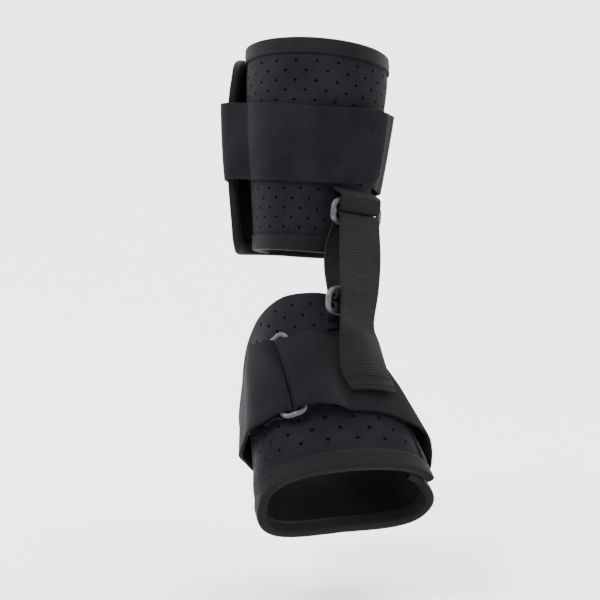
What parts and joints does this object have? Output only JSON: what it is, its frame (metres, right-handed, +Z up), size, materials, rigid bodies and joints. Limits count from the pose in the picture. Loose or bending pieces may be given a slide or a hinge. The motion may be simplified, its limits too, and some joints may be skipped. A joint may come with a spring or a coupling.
{
  "type": "foot drop brace",
  "caption": "Foot drop brace in its worn shape: padded shin cuff and foot wrap of perforated foam cloth, held by wrap straps and joined by a webbing strap through plastic rings.",
  "frame": {"origin": "centre of the ankle that the brace is worn on, between the cuff and the foot wrap", "axes": "+Z up the shin, -Y towards the toes, +X to the little toe's side of a left foot"},
  "size_m": [0.1627, 0.177, 0.3235],
  "materials": {
    "foam_cloth": "matte perforated foam cloth",
    "edge_tape": "matte woven tape",
    "loop_cloth": "matte brushed loop cloth",
    "ribbed_webbing": "matte ribbed webbing",
    "grey_plastic": "satin moulded plastic"
  },
  "bodies": {
    "root": {"cuff_wrap": "foam_cloth", "cuff_binding": "edge_tape", "cuff_strap": "loop_cloth", "ring_tab": "ribbed_webbing", "upper_ring": "grey_plastic", "connecting_strap": "ribbed_webbing", "lower_ring": "grey_plastic", "lower_tab": "ribbed_webbing", "foot_wrap": "foam_cloth", "toe_binding": "edge_tape", "flap_binding": "edge_tape", "foot_strap": "loop_cloth", "foot_elastic": "ribbed_webbing", "foot_ring": "grey_plastic"}
  },
  "joints": []
}
